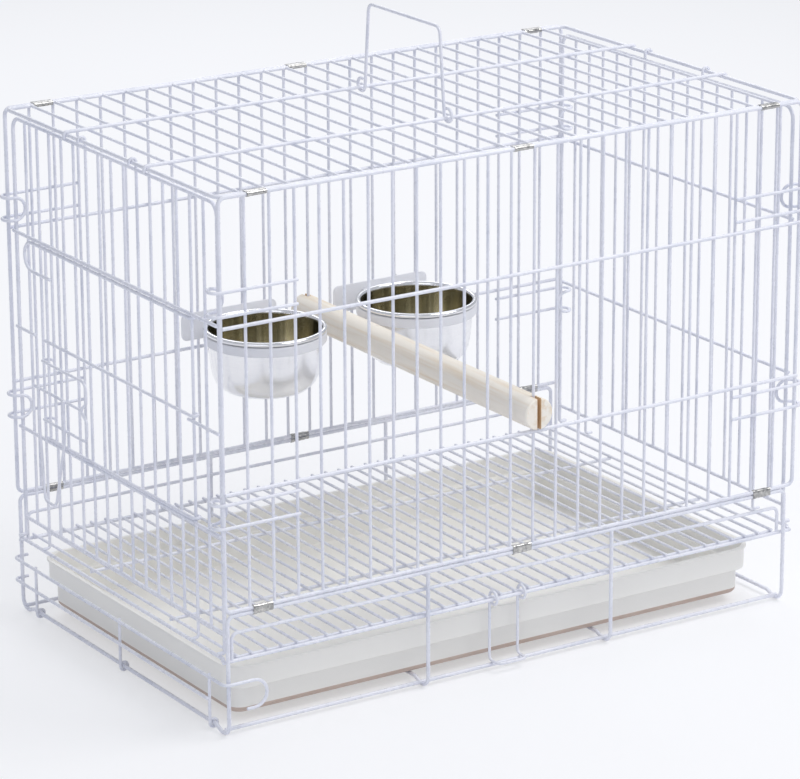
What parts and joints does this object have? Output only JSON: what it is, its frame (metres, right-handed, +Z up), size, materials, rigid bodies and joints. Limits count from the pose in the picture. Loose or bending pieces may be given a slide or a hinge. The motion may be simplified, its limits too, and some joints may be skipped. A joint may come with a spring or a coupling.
{
  "type": "bird travel cage",
  "caption": "Folding wire travel cage for a small bird with a hinged end door, feed cups, a wooden perch, a floor grille, a slide-out tray and a carry handle.",
  "frame": {"origin": "on the floor, under the middle of the wire box", "axes": "+X along the cage, away from the door end; -Y is the long front side; +Z up"},
  "size_m": [0.5232, 0.3317, 0.4658],
  "materials": {
    "white_wire": "white powder coat, satin",
    "galvanised_sheet": "dull galvanised",
    "stainless": "polished stainless steel",
    "tray_plastic": "ivory moulded plastic",
    "holder_plastic": "white moulded plastic",
    "perch_wood": "bare sanded softwood",
    "zinc": "zinc plated"
  },
  "bodies": {
    "cage": {"front_panel": "white_wire", "back_panel": "white_wire", "top_panel": "white_wire", "base_frame": "white_wire", "floor_grille": "white_wire", "clips_base_front": "galvanised_sheet", "clips_base_back": "galvanised_sheet", "clips_top_front": "galvanised_sheet", "clips_top_back": "galvanised_sheet", "cup_holder_left": "holder_plastic", "cup_holder_right": "holder_plastic", "clamp_bar_left": "holder_plastic", "clamp_bar_right": "holder_plastic", "clamp_bolt_left": "zinc", "clamp_bolt_right": "zinc"},
    "left_end": {"left_end_panel": "white_wire"},
    "right_end": {"right_end_panel": "white_wire"},
    "door": {"left_door": "white_wire"},
    "latch": {"door_latch": "white_wire"},
    "carry_handle": {"handle": "white_wire"},
    "floor_tray": {"tray": "tray_plastic"},
    "gate": {"base_gate": "white_wire"},
    "floor_latch": {"grille_latch": "white_wire"},
    "left_cup": {"cup_left": "stainless"},
    "right_cup": {"cup_right": "stainless"},
    "perch_rod": {"perch": "perch_wood"},
    "left_nut": {"wing_nut_left": "zinc"},
    "right_nut": {"wing_nut_right": "zinc"}
  },
  "joints": [
    {"name": "left_end_swing", "type": "hinge", "parent": "cage", "child": "left_end", "pos_m": [-0.2525, 0, 0.39645], "axis": [0, -1, 0], "range_deg": [0, 28]},
    {"name": "right_end_swing", "type": "hinge", "parent": "cage", "child": "right_end", "pos_m": [0.2525, 0, 0.39645], "axis": [0, 1, 0], "range_deg": [0, 28]},
    {"name": "door_swing", "type": "hinge", "parent": "left_end", "child": "door", "pos_m": [-0.2495, -0.11206, 0.227], "axis": [0, 0, 1], "range_deg": [0, 90]},
    {"name": "latch_lift", "type": "slide", "parent": "door", "child": "latch", "axis": [0, 0, 1], "range_m": [0, 0.012]},
    {"name": "handle_fold", "type": "hinge", "parent": "cage", "child": "carry_handle", "pos_m": [0, 0, 0.3956], "axis": [0, 1, 0], "range_deg": [-50, 50]},
    {"name": "tray_slide", "type": "slide", "parent": "cage", "child": "floor_tray", "axis": [1, 0, 0], "range_m": [0, 0.45]},
    {"name": "gate_drop", "type": "hinge", "parent": "cage", "child": "gate", "pos_m": [-0.251, 0, 0.0045], "axis": [0, -1, 0], "range_deg": [0, 80]},
    {"name": "floor_latch_swing", "type": "hinge", "parent": "cage", "child": "floor_latch", "pos_m": [-0.0093, -0.15207, 0.05713], "axis": [-1, 0, 0], "range_deg": [0, 95]},
    {"name": "left_cup_lift", "type": "slide", "parent": "cage", "child": "left_cup", "axis": [0, 0, 1], "range_m": [0, 0.055]},
    {"name": "right_cup_lift", "type": "slide", "parent": "cage", "child": "right_cup", "axis": [0, 0, 1], "range_m": [0, 0.055]},
    {"name": "perch_lift", "type": "slide", "parent": "cage", "child": "perch_rod", "axis": [0, 0, 1], "range_m": [0, 0.09]},
    {"name": "left_nut_turn", "type": "hinge", "parent": "cage", "child": "left_nut", "pos_m": [-0.0404, 0.162, 0.202], "axis": [0, 1, 0], "continuous": true},
    {"name": "right_nut_turn", "type": "hinge", "parent": "cage", "child": "right_nut", "pos_m": [0.101, 0.162, 0.202], "axis": [0, 1, 0], "continuous": true}
  ]
}
